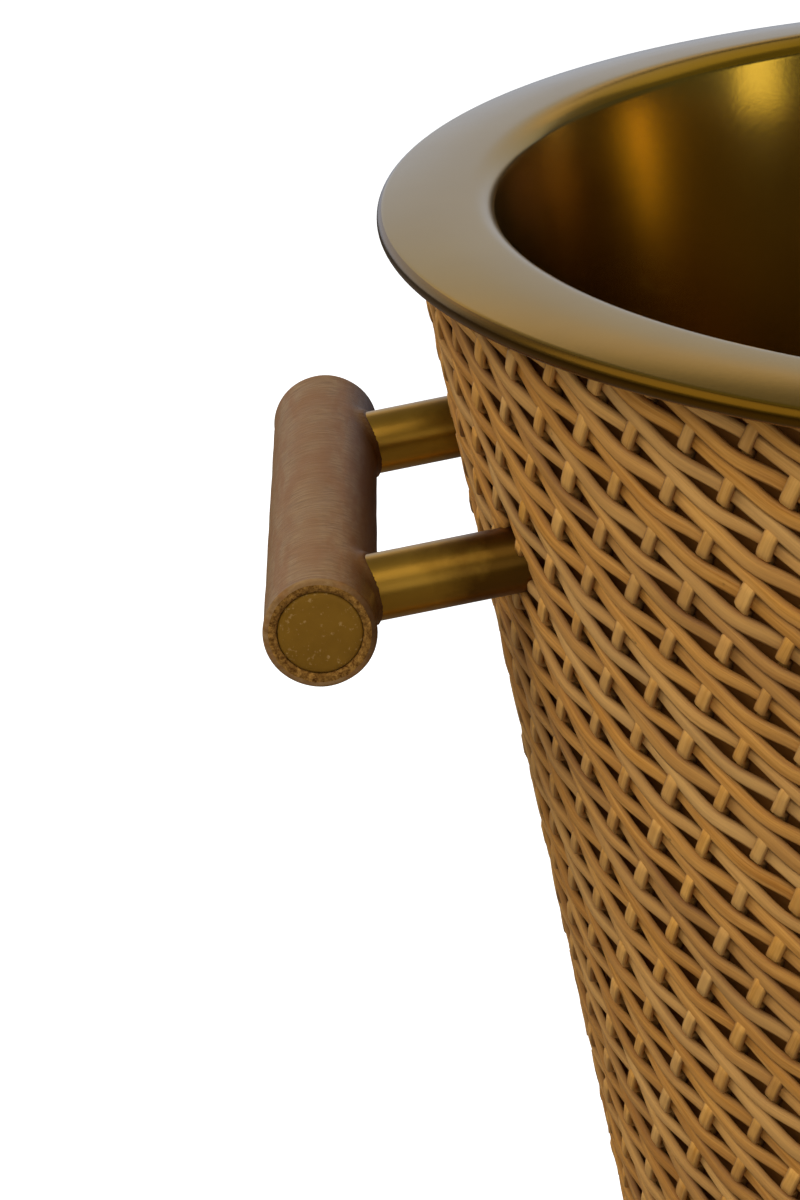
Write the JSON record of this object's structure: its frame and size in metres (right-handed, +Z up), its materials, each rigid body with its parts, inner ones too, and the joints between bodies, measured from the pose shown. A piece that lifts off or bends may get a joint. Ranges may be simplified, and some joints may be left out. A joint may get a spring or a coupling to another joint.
{
  "type": "champagne bucket on floor stand",
  "caption": "Tapered cane-clad brass champagne bucket with a flared rim and leather bar handles, lifting out of the dish of a pedestal floor stand.",
  "frame": {"origin": "on the floor, on the axis of the stand", "axes": "+Z up along the stand's axis; the bucket's handles stand out along -X and +X, with their bars along Y"},
  "size_m": [0.3, 0.3, 0.81],
  "materials": {
    "brass_satin": "satin antique brass, lightly toned",
    "brass_sheet": "plain sheet, unpolished",
    "rattan": "natural split cane, matt to satin",
    "leather": "brown leather, satin, fine grain round the bar",
    "leather_disc": "inlaid end disc, satin",
    "steel": "zinc plated fasteners",
    "cast_iron": "raw casting, painted black",
    "felt": "dark brown pressed felt"
  },
  "bodies": {
    "stand": {"floor_pad": "felt", "base_weight": "cast_iron", "base_cover": "brass_satin", "lower_collar": "brass_satin", "column_tube": "brass_satin", "column_wrap": "leather", "wrap_rings": "brass_satin", "upper_collar": "brass_satin", "tie_rod": "steel", "tie_nuts": "steel", "tie_washers": "steel", "seat_plate": "steel", "seat_screws": "steel", "seat_dish": "brass_satin", "seat_pad": "felt"},
    "bucket": {"base_band": "brass_satin", "base_plate": "brass_sheet", "base_screws": "steel", "base_standoffs": "steel", "foot_ring": "felt", "handle_core_left": "steel", "handle_core_right": "steel", "handle_discs_left": "leather_disc", "handle_discs_right": "leather_disc", "handle_leather_left": "leather", "handle_leather_right": "leather", "handle_nuts_left": "steel", "handle_nuts_right": "steel", "handle_posts_left": "brass_satin", "handle_posts_right": "brass_satin", "handle_studs_left": "steel", "handle_studs_right": "steel", "handle_washers_left": "steel", "handle_washers_right": "steel", "outer_shell": "brass_sheet", "rattan_wrap": "rattan", "vessel": "brass_satin"}
  },
  "joints": [
    {"name": "bucket_lift", "type": "slide", "parent": "stand", "child": "bucket", "axis": [0, 0, 1], "range_m": [0, 0.12]}
  ]
}
